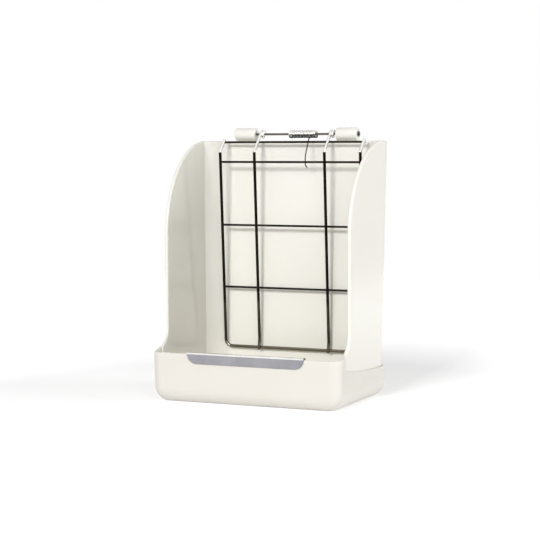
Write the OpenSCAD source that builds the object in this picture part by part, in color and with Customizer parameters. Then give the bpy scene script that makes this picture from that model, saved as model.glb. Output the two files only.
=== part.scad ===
// Hay feeder box: a tray with a low front lip, a three-walled hood that stands in it,
// and a spring-closed wire grid that swings forward on a rod above the back wall.
// Millimetres. +X right, +Y back, +Z up. The origin is the centre of the tray's underside.

/* [Tray] */
// Width of the tray at its base
tray_width = 174.4; // [150:0.1:220]
// Depth of the tray at its base, front to back
tray_depth = 118.9; // [100:0.1:150]
// Height of the front lip
lip_height = 43.5; // [36:0.5:60]
// Height of the tray's low sides and back
side_height = 27.5; // [22:0.5:32]
// How much higher the tray's sides are at the seam than at the back
rim_rise = 6.3; // [3:0.1:8]
// Wall and floor thickness of the tray
tray_wall = 3; // [2.6:0.1:4]
// Outward lean of the tray walls, in degrees
tray_draft = 1.14; // [0:0.01:2]
// Radius of the tray's upright front corners
tray_front_r = 10; // [8:0.5:16]
// Radius of the tray's upright back corners
tray_back_r = 15; // [12:0.5:20]
// Radius between the tray's floor and its walls
tray_foot_r = 13.5; // [8:0.5:15]
// Height of the ledge inside the tray that the hood stands on
seat_height = 16; // [14:0.5:18]
// Distance from the tray's front to the upright seam at each front corner
seam_setback = 15.2; // [13:0.1:18]

/* [Hood] */
// Height of the hood's top edge above the base
hood_height = 225.4; // [190:0.1:260]
// Wall thickness of the hood
hood_wall = 3; // [2.4:0.1:4]
// Outward lean of each side wall over the hood's height, at the back
hood_flare = 3.1; // [0:0.1:4]
// How much further out each side wall lies at its front than at its back, level with the seam
hood_toe_out = 1.8; // [0:0.1:2]
// How much further in each side wall lies at its front than at its back, at the top
hood_toe_in = 3.1; // [0:0.1:4]
// Backward lean of the back wall over its height
hood_lean = 4; // [0:0.1:6]
// Outside radius of the hood's upright back corners
hood_corner_r = 13; // [8:0.5:20]
// Distance from the tray's front to the hood's upright front edges
hood_setback = 25.7; // [20:0.1:28]
// Depth of the curve at the top of each front edge
top_curve_depth = 80; // [60:0.5:82]
// Height of the curve at the top of each front edge
top_curve_height = 80.4; // [60:0.1:90]
// Depth of the curve that runs forward into the lip
sweep_depth = 22; // [16:0.5:24]
// Height of the curve that runs forward into the lip
sweep_height = 19; // [14:0.5:24]
// Clearance between the hood and the tray
fit_gap = 0.15; // [0.1:0.01:0.3]
// Width of the ledge that the hood stands on
seat_ledge = 1; // [0.8:0.1:1.4]

/* [Hinge] */
// Diameter of the hinge rod
rod_d = 2; // [1.6:0.1:3]
// Height of the hinge rod above the hood's top edge
rod_rise = 5.9; // [5.2:0.1:6.5]
// Distance from the outside of the back wall's foot forward to the rod
rod_forward = 1; // [0:0.1:2]
// Outside radius of the two hinge knuckles
knuckle_r = 5.7; // [4.5:0.1:5.8]
// Width of each hinge knuckle
knuckle_w = 20; // [14:0.5:26]
// Gap between each wire eye and the knuckle beside it
eye_side_gap = 4; // [2:0.1:6]
// Radial clearance of the rod in the knuckles
rod_bore_gap = 0.05; // [0.02:0.01:0.1]
// Outside diameter of the push nut on the rod's end
nut_d = 4.8; // [4:0.1:8]
// Thickness of the push nut
nut_t = 0.8; // [0.6:0.1:2]

/* [Grid] */
// Gap between the grid's outer wire centres and the inside of the hood's side walls
grid_side_gap = 14.6; // [13:0.1:20]
// Distance between the two inner upright wires
inner_spacing = 68; // [50:0.1:72]
// Diameter of the upright wires
upright_d = 2.6; // [2:0.1:3]
// Diameter of the crossbar wires
crossbar_d = 2; // [1.5:0.1:2.4]
// Height of the grid's bottom wire above the base
grid_foot_height = 37.8; // [34:0.1:48]
// Distance from the back wall's foot forward to the grid's bottom wire
grid_foot_forward = 7.2; // [5.2:0.1:9]
// Forward lean of the grid when it is closed, in degrees
grid_tilt = 3.6; // [2:0.1:5]
// Height of the rod above the uprights' top bend
bend_drop = 15.5; // [14.5:0.1:17]
// Distance up the uprights to the lower crossbar
lower_bar_at = 54.4; // [40:0.1:60]
// Distance up the uprights to the middle crossbar
middle_bar_at = 111.4; // [90:0.1:125]
// Distance from the top bend down to the upper crossbar
upper_bar_below = 9.6; // [7:0.1:12]
// Distance from the outer uprights' tips back to the top crossbar
top_bar_inset = 1.1; // [0.8:0.1:2]
// Length of the outer uprights past their top bend
outer_tip_len = 14.6; // [13.6:0.1:15.4]
// Radius of the grid's two bottom corners
grid_corner_r = 6; // [4:0.5:12]
// Bend radius at the top of the uprights
top_bend_r = 4; // [3:0.5:6]
// Radial clearance of the wire eyes on the rod
eye_gap = 0.09; // [0.05:0.01:0.1]
// Turn of each wire eye round the rod, in degrees
eye_sweep = 250; // [200:1:255]

/* [Spring] */
// Wire diameter of the torsion spring
spring_wire = 1; // [0.8:0.05:1.1]
// Outside diameter of the spring's coil
spring_od = 7; // [6:0.1:7.4]
// Number of turns in the coil
spring_turns = 18; // [8:1:20]
// Distance between turns, centre to centre
spring_pitch = 1.43; // [1.42:0.01:2]
// Left end of the coil, from the middle of the box
spring_left = -6.2; // [-12:0.1:0]
// Length of the fixed leg behind the back wall
fixed_leg_len = 12; // [8:0.5:20]

/* [Gnaw guard] */
// Length of the metal guard along the lip
guard_len = 108.3; // [80:0.1:120]
// Offset of the guard's middle from the middle of the box
guard_shift = 2.1; // [-3:0.1:3]
// Depth of the guard's front flange
guard_front = 9.5; // [7:0.1:12]
// Depth of the guard's back flange
guard_back = 6.5; // [4:0.1:9]
// Thickness of the guard's sheet metal
guard_t = 0.6; // [0.5:0.05:0.8]
// Gap between the guard's flanges and the lip
guard_gap = 0.25; // [0.15:0.05:0.5]
// Gap between the guard's fold and the top of the lip
guard_top_gap = 0.6; // [0.2:0.1:1]
// Radius of the front flange's lower corners
guard_corner_r = 8.5; // [3:0.5:9]

/* [Hidden] */

ivory = [0.95, 0.935, 0.885];
chrome = [0.70, 0.70, 0.69];
brushed = [0.66, 0.66, 0.72];

// How finely curves are drawn, the thickness of the slices that a hull joins,
// and by how much a ball at each bend of a wire is larger than the wire
hull_fn = 32;
round_fn = 48;
slice = 0.01;
arc_steps = 10;
joint_swell = 0.02;
past = 5;

// Tray: outward offset of a leaning wall at height z, and the y of its faces at the base
function lean_at(z) = z * tan(tray_draft);
tray_front = -tray_depth / 2;
tray_back = tray_depth / 2;
tray_front_at_lip = tray_front - lean_at(lip_height);

// Hood: its back face at the seam stands inside the tray's back wall
rebate_wall = tray_wall - seat_ledge;
hood_back = tray_back - rebate_wall - fit_gap;
seam_y = tray_front + seam_setback;
rim_from = tray_back - tray_back_r;
hood_front = tray_front + hood_setback;
hood_half_back_low = tray_width / 2 + lean_at(side_height) - rebate_wall - fit_gap;
hood_half_front_low = hood_half_back_low + hood_toe_out;
hood_half_back_top = hood_half_back_low + hood_flare;
hood_half_front_top = hood_half_back_top - hood_toe_in;
skirt_w = tray_width - 2 * rebate_wall + 2 * lean_at(seat_height) - 2 * fit_gap;
skirt_lap = 2;
web_inset = 0.2;

// Curves of the side walls: two quarters of an ellipse, and the rim that the tray's sides rise along
sweep_centre = [hood_front - sweep_depth, lip_height + sweep_height];
top_centre = [hood_front + top_curve_depth, hood_height - top_curve_height];
function ellipse_point(centre, a, b, angle) =
    [centre[0] + a * cos(angle), centre[1] + b * sin(angle)];
function rim_at(y) =
    side_height + rim_rise * pow((rim_from - y) / (rim_from - seam_y), 2);
function rim_curve(from, to, lift) =
    [for (step = [0:arc_steps])
        let (y = from + (to - from) * step / arc_steps)
        [y, rim_at(y) + lift]];
function sweep_height_at(y) =
    sweep_centre[1] - sweep_height * sqrt(1 - pow((y - sweep_centre[0]) / sweep_depth, 2));

// Hinge
rod_r = rod_d / 2;
rod_y = hood_back - rod_forward;
rod_height = hood_height + rod_rise;
knuckle_inner = inner_spacing / 2 + upright_d / 2 + eye_side_gap;
knuckle_outer = knuckle_inner + knuckle_w;
rod_blind = 2;
rod_tip = 1.4;

// Grid: points of an upright's bent path, as [y, z]
upright_r = upright_d / 2;
crossbar_r = crossbar_d / 2;
weld_gap = 0.02;
weld_offset = upright_r + crossbar_r + weld_gap;
grid_width = 2 * (hood_half_back_low - hood_wall - grid_side_gap);
grid_foot = [hood_back - grid_foot_forward, grid_foot_height];
up_dir = [-sin(grid_tilt), cos(grid_tilt)];
back_dir = [cos(grid_tilt), sin(grid_tilt)];
upright_len = (rod_height - bend_drop - grid_foot_height) / cos(grid_tilt);
bend_point = grid_foot + up_dir * upright_len;
to_rod = [rod_y, rod_height] - bend_point;
eye_r = rod_r + eye_gap + upright_r;
rise = atan2(to_rod[1], to_rod[0]) + asin(eye_r / norm(to_rod));
out_dir = [cos(rise), sin(rise)];
under_dir = [sin(rise), -cos(rise)];
turn = 90 + grid_tilt - rise;
bend_trim = top_bend_r * tan(turn / 2);
bend_centre = bend_point - up_dir * bend_trim + back_dir * top_bend_r;
eye_start = sqrt(pow(norm(to_rod), 2) - pow(eye_r, 2));
top_bar = bend_point + out_dir * (outer_tip_len - top_bar_inset) + under_dir * weld_offset;
upper_bar = bend_point - up_dir * upper_bar_below + back_dir * weld_offset;

// Spring: the coil winds round the rod, and each leg's points follow from what it bears on
spring_r = (spring_od - spring_wire) / 2;
spring_sides = 6;
rings_per_turn = 8;
leg_points = 9;
leg_apart = 3;
leg_gap = 0.35;
tail_clear = 0.46;
coil_top_clear = spring_r + spring_wire + tail_clear;
tail_y = rod_y - sqrt(pow(coil_top_clear, 2) - pow(spring_r, 2));
tail_z = rod_height - spring_r;
spring_right = spring_left + spring_turns * spring_pitch;
tail_len = 5.7;
tail_left = spring_right - tail_len;
fixed_leg_y = hood_back + hood_lean + leg_gap + spring_wire / 2;
hook_side_step = 1.5;
hook_x = tail_left + hook_side_step;
hook_front = crossbar_r + leg_gap + spring_wire / 2;

// Gnaw guard
guard_lip = tray_wall + 2 * guard_gap;
guard_bend_r = 1.5;

// ---------------------------------------------------------------- shared shapes

// Tub with leaning walls, rounded upright corners and a rounded foot, offset inward by inset
module tub(inset, height) {
    foot = tray_foot_r - inset;
    hull()
        for (step = [0:arc_steps + 1]) {
            angle = min(step, arc_steps) * 90 / arc_steps;
            z = step > arc_steps ? height : inset + foot * (1 - sin(angle));
            pull = step > arc_steps ? -lean_at(height) : foot * (1 - cos(angle)) - lean_at(z);
            for (side = [-1, 1]) {
                front_r = max(tray_front_r - inset - max(pull, 0), 1);
                back_r = max(tray_back_r - inset - max(pull, 0), 1);
                half = tray_width / 2 - inset - pull;
                translate([side * (half - front_r), tray_front + inset + pull + front_r, z])
                    cylinder(r = front_r, h = slice, $fn = hull_fn);
                translate([side * (half - back_r), tray_back - inset - max(pull, 0) - back_r, z])
                    cylinder(r = back_r, h = slice, $fn = hull_fn);
            }
        }
}

// Outline open to the front with two rounded back corners
module back_round_outline(width, front, back, radius) {
    translate([-width / 2, front])
        square([width, back - radius - front]);
    translate([-width / 2 + radius, front])
        square([width - 2 * radius, back - front]);
    for (side = [-1, 1])
        translate([side * (width / 2 - radius), back - radius])
            circle(r = radius, $fn = round_fn);
}

// Leaning block that bounds the hood's outside, or its inside when inset by the wall
module hood_block(inset) {
    low = side_height;
    high = hood_height;
    radius = hood_corner_r - inset;
    front = tray_front - past;
    hull()
        for (side = [-1, 1]) {
            translate([side * (hood_half_back_low - inset - radius), hood_back - inset - radius, low - inset])
                cylinder(r = radius, h = slice, $fn = round_fn);
            translate([side * (hood_half_back_top - inset - radius),
                       hood_back + hood_lean - inset - radius, high + inset])
                cylinder(r = radius, h = slice, $fn = round_fn);
            translate([side * (hood_half_front_low - inset - slice), front, low - inset])
                cylinder(r = slice, h = slice, $fn = 8);
            translate([side * (hood_half_front_top - inset - slice), front, high + inset])
                cylinder(r = slice, h = slice, $fn = 8);
        }
}

// Plate across the full width, drawn from an outline in y and z
module across(width) {
    translate([-width / 2, 0, 0])
        rotate([90, 0, 90])
            linear_extrude(width)
                children();
}

// Outline of the hood's side walls above the seam
module hood_profile() {
    sweep_end = asin((seam_y + fit_gap - sweep_centre[0]) / sweep_depth);
    polygon(concat(
        [[tray_back + past, side_height + fit_gap],
         [tray_back + past, hood_height]],
        [for (step = [0:arc_steps * 2])
            ellipse_point(top_centre, top_curve_depth, top_curve_height, 90 + step * 90 / (arc_steps * 2))],
        [for (step = [0:arc_steps])
            ellipse_point(sweep_centre, sweep_depth, sweep_height, -step * (90 - sweep_end) / arc_steps)],
        rim_curve(seam_y + fit_gap, rim_from, fit_gap)));
}

// Outline of the tray's walls: low at the sides, high at the lip, curved at the corner
module tray_profile() {
    polygon(concat(
        [[tray_back + past, -past],
         [tray_back + past, side_height]],
        rim_curve(rim_from, seam_y, 0),
        [for (step = [0:arc_steps])
            let (y = seam_y + (sweep_centre[0] - seam_y) * step / arc_steps)
            [y, sweep_height_at(y)]],
        [[tray_front - past, lip_height],
         [tray_front - past, -past]]));
}

// Straight round wire between two points
module wire_between(p, q, radius) {
    along = q - p;
    translate(p)
        rotate([0, acos(along[2] / norm(along)), atan2(along[1], along[0])])
            translate([0, 0, joint_swell])
                cylinder(r = radius, h = norm(along) - 2 * joint_swell, $fn = hull_fn);
}

// Ball that joins two lengths of a bent wire
module wire_joint(p, radius) {
    translate(p)
        sphere(r = radius + joint_swell, $fn = hull_fn);
}

// Arc of round wire in a plane of constant x
module wire_arc(x, centre, bend, from, sweep, radius) {
    translate([x, centre[0], centre[1]])
        rotate([90, 0, 90])
            rotate([0, 0, from])
                rotate_extrude(angle = sweep, $fn = round_fn)
                    translate([bend, 0])
                        circle(r = radius, $fn = hull_fn);
}

function at_x(x, point) = [x, point[0], point[1]];

// Unbroken round tube along a list of points, with its frame carried from ring to ring
function unit(v) = v / norm(v);
function heading(points, i) =
    unit(points[min(i + 1, len(points) - 1)] - points[max(i - 1, 0)]);
function carried(normal, along) = unit(normal - (normal * along) * along);
function ring_normals(points, first) =
    [for (i = 0, n = carried(first, heading(points, 0)); i < len(points);
          i = i + 1, n = carried(n, heading(points, min(i, len(points) - 1)))) n];

module tube(points, radius, sides, first) {
    normals = ring_normals(points, first);
    count = len(points);
    vertices = [for (i = [0:count - 1])
        let (t = heading(points, i), u = normals[i], v = cross(t, u))
        for (k = [0:sides - 1])
            points[i] + radius * (cos(k * 360 / sides) * u + sin(k * 360 / sides) * v)];
    walls = [for (i = [0:count - 2], k = [0:sides - 1])
        let (a = i * sides + k, b = i * sides + (k + 1) % sides)
        for (face = [[a, a + sides, b], [b, a + sides, b + sides]]) face];
    caps = [for (k = [1:sides - 2])
        for (face = [[0, k, k + 1],
                     [(count - 1) * sides, (count - 1) * sides + k + 1, (count - 1) * sides + k]]) face];
    polyhedron(points = vertices, faces = concat(walls, caps), convexity = 10);
}

// ---------------------------------------------------------------- sub-parts

// Tray with floor, low sides and back, front lip and the ledge that the hood stands on
module hay_tray() {
    color(ivory)
        difference() {
            intersection() {
                tub(0, lip_height + past);
                across(2 * tray_width)
                    tray_profile();
            }
            tub(tray_wall, lip_height + 2 * past);
            translate([0, 0, seat_height])
                linear_extrude(lip_height)
                    back_round_outline(skirt_w + 2 * fit_gap, seam_y, hood_back + fit_gap,
                                       hood_corner_r + fit_gap);
        }
}

// Three-walled hood with its skirt inside the tray and the two hinge knuckles
module hood() {
    color(ivory)
        difference() {
            union() {
                difference() {
                    intersection() {
                        hood_block(0);
                        across(2 * tray_width)
                            hood_profile();
                    }
                    hood_block(hood_wall);
                }
                hood_skirt();
                for (side = [-1, 1])
                    knuckle(side);
            }
            translate([-knuckle_outer + rod_blind, rod_y, rod_height])
                rotate([0, 90, 0])
                    cylinder(r = rod_r + rod_bore_gap, h = 2 * knuckle_outer, $fn = round_fn);
        }
}

// Lower edge of the hood, which stands on the tray's ledge
module hood_skirt() {
    intersection() {
        translate([0, 0, seat_height + fit_gap])
            linear_extrude(side_height + rim_rise + skirt_lap - seat_height)
                difference() {
                    back_round_outline(skirt_w, seam_y + fit_gap, hood_back, hood_corner_r);
                    back_round_outline(skirt_w - 2 * hood_wall, seam_y - past, hood_back - hood_wall,
                                       hood_corner_r - hood_wall);
                }
        across(2 * tray_width)
            polygon(concat(
                [[tray_back + past, 0],
                 [tray_back + past, side_height + skirt_lap]],
                rim_curve(rim_from, seam_y, skirt_lap),
                [[seam_y, 0]]));
    }
}

// Hinge knuckle on the back wall's top edge
module knuckle(side) {
    left = side > 0 ? knuckle_inner : -knuckle_outer;
    translate([left, rod_y, rod_height])
        rotate([0, 90, 0])
            cylinder(r = knuckle_r, h = knuckle_w, $fn = round_fn);
    translate([left, hood_back + hood_lean - hood_wall, hood_height - hood_wall])
        cube([knuckle_w, hood_wall - web_inset, rod_height - hood_height + hood_wall]);
}

// Folded sheet-metal guard over the lip
module gnaw_guard() {
    inner_top = lip_height + guard_top_gap;
    outer_top = inner_top + guard_t;
    inner_front = tray_front_at_lip - guard_gap;
    flange_low = outer_top - guard_front;
    color(brushed)
        translate([guard_shift, 0, 0])
            intersection() {
                across(guard_len)
                    difference() {
                        fold_outline(inner_front - guard_t, outer_top, guard_lip + 2 * guard_t, guard_bend_r);
                        fold_outline(inner_front, inner_top, guard_lip, guard_bend_r - guard_t);
                        translate([inner_front + guard_lip / 2, outer_top - guard_back - past])
                            square([guard_lip, past]);
                    }
                translate([0, tray_front, 0])
                    rotate([90, 0, 0])
                        linear_extrude(2 * past, center = true)
                            guard_outline(flange_low, outer_top);
            }
}

// Arch-shaped outline of the fold, square at the foot and rounded at the two top edges
module fold_outline(front, top, thickness, radius) {
    foot = top - guard_front;
    translate([front, foot])
        square([thickness, guard_front - radius]);
    translate([front + radius, foot])
        square([thickness - 2 * radius, guard_front]);
    for (y = [front + radius, front + thickness - radius])
        translate([y, top - radius])
            circle(r = radius, $fn = round_fn);
}

// Front view of the guard, with rounded lower corners
module guard_outline(low, high) {
    translate([-guard_len / 2, low + guard_corner_r])
        square([guard_len, high - low - guard_corner_r]);
    translate([-guard_len / 2 + guard_corner_r, low])
        square([guard_len - 2 * guard_corner_r, high - low]);
    for (side = [-1, 1])
        translate([side * (guard_len / 2 - guard_corner_r), low + guard_corner_r])
            circle(r = guard_corner_r, $fn = round_fn);
}

// Rod that the grid swings on, blind in the left knuckle and through the right one
module hinge_rod() {
    start = -knuckle_outer + rod_blind + fit_gap;
    end = knuckle_outer + nut_t + rod_tip;
    color(chrome)
        translate([start, rod_y, rod_height])
            rotate([0, 90, 0])
                cylinder(r = rod_r, h = end - start, $fn = round_fn);
}

// Push nut that holds the rod in
module rod_push_nut() {
    color(chrome)
        translate([knuckle_outer + fit_gap, rod_y, rod_height])
            rotate([0, 90, 0])
                difference() {
                    cylinder(r = nut_d / 2, h = nut_t, $fn = round_fn);
                    translate([0, 0, -past])
                        cylinder(r = rod_r + rod_bore_gap, h = nut_t + 2 * past, $fn = round_fn);
                }
}

// Torsion spring: fixed leg behind the back wall, coil round the rod, hook on the grid
module torsion_spring() {
    coil_z = rod_height - spring_r;
    fixed_leg = [
        [spring_left, fixed_leg_y, coil_z - fixed_leg_len],
        [spring_left, fixed_leg_y, coil_z - 1.2],
        [spring_left, fixed_leg_y - 0.4, coil_z - 0.4],
        [spring_left, fixed_leg_y - 1.2, coil_z]];
    coil = [for (i = [0:spring_turns * rings_per_turn])
        let (angle = i * 360 / rings_per_turn)
        [spring_left + i * spring_pitch / rings_per_turn,
         rod_y - spring_r * sin(angle),
         rod_height - spring_r * cos(angle)]];
    hook_y = upper_bar[0] - hook_front;
    over_y = top_bar[0] - hook_front;
    hook_leg = [
        [spring_right + 0.1, tail_y + 1, tail_z],
        [spring_right - 0.2, tail_y + 0.3, tail_z],
        [spring_right - 0.9, tail_y, tail_z],
        [tail_left + 0.9, tail_y, tail_z],
        [tail_left + 0.2, tail_y - 0.4, tail_z - 0.4],
        [tail_left, tail_y - 1.2, tail_z - 1.2],
        [hook_x, over_y + 0.2, top_bar[1] + 2],
        [hook_x, over_y - 0.3, top_bar[1] + 0.9],
        [hook_x, hook_y + 0.4, upper_bar[1] + 5],
        [hook_x, hook_y, upper_bar[1] + 3.6],
        [hook_x, hook_y, upper_bar[1] - 1],
        [hook_x, hook_y + 0.5, upper_bar[1] - 2.2],
        [hook_x, hook_y + 1.6, upper_bar[1] - 3.1],
        [hook_x, hook_y + 3.4, upper_bar[1] - 4.2]];
    points = concat(fixed_leg, coil, hook_leg);
    echo(spring_least_gap = least_gap(points, rings_per_turn - 2) - spring_wire);
    color(chrome)
        tube(points, spring_wire / 2, spring_sides, [1, 0, 0]);
}

// Least distance between two segments of the spring's centre line that aren't neighbours
function along_segment(p, a, b) =
    let (t = max(0, min(1, (p - a) * (b - a) / ((b - a) * (b - a))))) norm(p - a - t * (b - a));
function least_gap(points, apart) =
    min([for (i = [0:len(points) - 1], j = [0:len(points) - 2])
        if (abs(i - j) > apart || (abs(i - j) > leg_apart && i > len(points) - leg_points))
            along_segment(points[i], points[j], points[j + 1])]);

// Outer frame of the grid: one wire bent into a U, with both ends bent back at the top
module outer_frame_wire() {
    half = grid_width / 2;
    color(chrome) {
        translate([0, grid_foot[0], grid_foot[1]])
            rotate([grid_tilt, 0, 0]) {
                wire_between([-half + grid_corner_r, 0, 0], [half - grid_corner_r, 0, 0], upright_r);
                for (side = [0, 1])
                    mirror([side, 0, 0]) {
                        translate([half - grid_corner_r, 0, grid_corner_r])
                            rotate([90, 0, 0])
                                rotate([0, 0, -90])
                                    rotate_extrude(angle = 90, $fn = round_fn)
                                        translate([grid_corner_r, 0])
                                            circle(r = upright_r, $fn = hull_fn);
                        wire_joint([half - grid_corner_r, 0, 0], upright_r);
                        wire_joint([half, 0, grid_corner_r], upright_r);
                    }
            }
        for (x = [-half, half]) {
            upright(x, grid_corner_r);
            wire_between(at_x(x, bend_point + out_dir * bend_trim),
                         at_x(x, bend_point + out_dir * outer_tip_len), upright_r);
        }
    }
}

// Straight part of an upright and its top bend, with a ball at either end of the bend
module upright(x, from) {
    wire_between(at_x(x, grid_foot + up_dir * from),
                 at_x(x, bend_point - up_dir * bend_trim), upright_r);
    wire_joint(at_x(x, bend_point - up_dir * bend_trim), upright_r);
    wire_arc(x, bend_centre, top_bend_r, 180 + grid_tilt - turn, turn, upright_r);
    wire_joint(at_x(x, bend_point + out_dir * bend_trim), upright_r);
}

// Inner upright, which passes over the rod and ends in an eye round it
module eyed_upright(x) {
    color(chrome) {
        upright(x, upright_r + weld_gap + upright_r);
        wire_between(at_x(x, bend_point + out_dir * bend_trim),
                     at_x(x, bend_point + out_dir * eye_start), upright_r);
        wire_joint(at_x(x, bend_point + out_dir * eye_start), upright_r);
        wire_arc(x, [rod_y, rod_height], eye_r, rise + 90 - eye_sweep, eye_sweep, upright_r);
    }
}

module left_upright() {
    eyed_upright(-inner_spacing / 2);
}

module right_upright() {
    eyed_upright(inner_spacing / 2);
}

// Crossbar wire centred on a point in y and z
module crossbar(centre) {
    reach = grid_width / 2 + crossbar_r / 2;
    color(chrome)
        wire_between(at_x(-reach, centre), at_x(reach, centre), crossbar_r);
}

module top_crossbar() {
    crossbar(top_bar);
}

module upper_crossbar() {
    crossbar(upper_bar);
}

module middle_crossbar() {
    crossbar(grid_foot + up_dir * middle_bar_at + back_dir * weld_offset);
}

module lower_crossbar() {
    crossbar(grid_foot + up_dir * lower_bar_at + back_dir * weld_offset);
}

hay_tray();
hood();
gnaw_guard();
hinge_rod();
rod_push_nut();
torsion_spring();
outer_frame_wire();
left_upright();
right_upright();
top_crossbar();
upper_crossbar();
middle_crossbar();
lower_crossbar();
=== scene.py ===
"""Looks of the hay feeder box: smooth mouldings, wires, spring, materials, light and camera.

The scene is in metres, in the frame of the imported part: +X right, +Y back, +Z up.
Shapes are worked out in millimetres and scaled where their mesh is made.
"""

import math

import bmesh
import bpy
from mathutils import Matrix, Vector


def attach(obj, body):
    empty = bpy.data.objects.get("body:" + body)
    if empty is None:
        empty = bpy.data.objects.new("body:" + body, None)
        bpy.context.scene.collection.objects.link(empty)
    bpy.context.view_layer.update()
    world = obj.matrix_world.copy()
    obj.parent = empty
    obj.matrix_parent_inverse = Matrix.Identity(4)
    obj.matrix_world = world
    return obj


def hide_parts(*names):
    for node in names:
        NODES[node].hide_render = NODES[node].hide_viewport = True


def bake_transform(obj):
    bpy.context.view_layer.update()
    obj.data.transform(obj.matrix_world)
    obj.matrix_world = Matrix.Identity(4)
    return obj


MM = 0.001

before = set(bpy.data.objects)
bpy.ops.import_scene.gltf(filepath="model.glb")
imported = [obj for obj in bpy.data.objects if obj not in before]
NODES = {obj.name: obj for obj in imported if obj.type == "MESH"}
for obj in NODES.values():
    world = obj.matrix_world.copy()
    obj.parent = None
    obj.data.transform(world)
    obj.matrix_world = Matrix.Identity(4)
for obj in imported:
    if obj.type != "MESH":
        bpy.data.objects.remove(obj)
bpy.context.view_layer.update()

# ---------------------------------------------------------------- camera

# The camera that took the photo, in the photo's 540-pixel frame
CAMERA_AT = Vector((585.34, -1308.39, 219.31)) * MM
CAMERA_AZIMUTH = math.radians(24.147)
CAMERA_PITCH = math.radians(4.256)
CAMERA_ROLL = math.radians(-0.128)
CLIP_NEAR = 0.05
CLIP_FAR = 30
PHOTO_WIDTH = 540
FOCAL_PIXELS = 1645.23
SENSOR_MM = 36


def place_camera():
    right = Vector((math.cos(CAMERA_AZIMUTH), math.sin(CAMERA_AZIMUTH), 0))
    look = Vector((-math.sin(CAMERA_AZIMUTH) * math.cos(CAMERA_PITCH),
                   math.cos(CAMERA_AZIMUTH) * math.cos(CAMERA_PITCH),
                   -math.sin(CAMERA_PITCH)))
    up = right.cross(look)
    rolled_right = math.cos(CAMERA_ROLL) * right + math.sin(CAMERA_ROLL) * up
    rolled_up = -math.sin(CAMERA_ROLL) * right + math.cos(CAMERA_ROLL) * up
    data = bpy.data.cameras.new("camera")
    data.sensor_width = SENSOR_MM
    data.lens = FOCAL_PIXELS / PHOTO_WIDTH * SENSOR_MM
    data.clip_start = CLIP_NEAR
    data.clip_end = CLIP_FAR
    camera = bpy.data.objects.new("camera", data)
    bpy.context.scene.collection.objects.link(camera)
    rotation = Matrix((rolled_right, rolled_up, -look)).transposed().to_4x4()
    camera.matrix_world = Matrix.Translation(CAMERA_AT) @ rotation
    bpy.context.scene.camera = camera


# ---------------------------------------------------------------- sizes, as in the part

# Tray, in millimetres
TRAY_HALF_WIDTH = 87.2
TRAY_HALF_DEPTH = 59.45
TRAY_WALL = 3.0
TRAY_DRAFT = math.tan(math.radians(1.14))
TRAY_FRONT_R = 10.0
TRAY_BACK_R = 15.0
TRAY_FOOT_R = 13.5
LIP_HEIGHT = 43.5
SIDE_HEIGHT = 27.5
SEAT_HEIGHT = 16.0
SEAT_LEDGE = 1.0
FIT_GAP = 0.15
SEAM_Y = -TRAY_HALF_DEPTH + 15.2
RIM_FROM = TRAY_HALF_DEPTH - TRAY_BACK_R
RIM_RISE = 6.3

# Hood
HOOD_WALL = 3.0
HOOD_HEIGHT = 225.4
HOOD_BACK = TRAY_HALF_DEPTH - TRAY_WALL + SEAT_LEDGE - FIT_GAP
HOOD_LEAN = 4.0
HOOD_CORNER_R = 13.0
HOOD_FRONT = -TRAY_HALF_DEPTH + 25.7
HOOD_HALF_SKIRT = TRAY_HALF_WIDTH - TRAY_WALL + SEAT_LEDGE - FIT_GAP + SEAT_HEIGHT * TRAY_DRAFT
HOOD_HALF_LOW = TRAY_HALF_WIDTH + SIDE_HEIGHT * TRAY_DRAFT - TRAY_WALL + SEAT_LEDGE - FIT_GAP
HOOD_FLARE = 3.1
HOOD_TOE_OUT = 1.8
HOOD_TOE_IN = 3.1
HOOD_POST_Y = -TRAY_HALF_DEPTH - 5.0
HOOD_BULGE = 0.6
TOP_CURVE = (80.0, 80.4)
SWEEP = (22.0, 19.0)
SWEEP_CENTRE = (HOOD_FRONT - SWEEP[0], LIP_HEIGHT + SWEEP[1])
TOP_CENTRE = (HOOD_FRONT + TOP_CURVE[0], HOOD_HEIGHT - TOP_CURVE[1])

# Hinge
ROD_Y = HOOD_BACK - 1.0
ROD_Z = HOOD_HEIGHT + 5.9
ROD_R = 1.0
KNUCKLE_INNER = 39.3
KNUCKLE_OUTER = 59.3
KNUCKLE_R = 5.7

# Grid; pairs are (y, z) in the plane of its swing
UPRIGHT_R = 1.3
CROSSBAR_R = 1.0
WELD_OFFSET = UPRIGHT_R + CROSSBAR_R + 0.02
GRID_TILT = math.radians(3.6)
GRID_FOOT = Vector((HOOD_BACK - 7.2, 37.8))
UP = Vector((-math.sin(GRID_TILT), math.cos(GRID_TILT)))
BACK = Vector((math.cos(GRID_TILT), math.sin(GRID_TILT)))
BEND_DROP = 15.5
BEND = GRID_FOOT + UP * ((ROD_Z - BEND_DROP - GRID_FOOT[1]) / math.cos(GRID_TILT))
BEND_R = 4.0
EYE_R = ROD_R + 0.09 + UPRIGHT_R
EYE_TURN = 425
EYE_PITCH = 2.9
TO_ROD = Vector((ROD_Y, ROD_Z)) - BEND
RISE = math.atan2(TO_ROD[1], TO_ROD[0]) + math.asin(EYE_R / TO_ROD.length)
OUT = Vector((math.cos(RISE), math.sin(RISE)))
OUT_BACK = Vector((OUT[1], -OUT[0]))
OUTER_TIP = 14.6
INNER_X = 34.0
GRID_SIDE_GAP = 14.6
OUTER_X = HOOD_HALF_LOW - HOOD_WALL - GRID_SIDE_GAP
LOWER_BAR_HEIGHTS = (54.4, 111.4)
LOWER_BARS = [GRID_FOOT + UP * height + BACK * WELD_OFFSET for height in LOWER_BAR_HEIGHTS]
UPPER_BAR_BELOW = 9.6
UPPER_BAR = BEND - UP * UPPER_BAR_BELOW + BACK * WELD_OFFSET
TOP_BAR_INSET = 1.1
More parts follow.
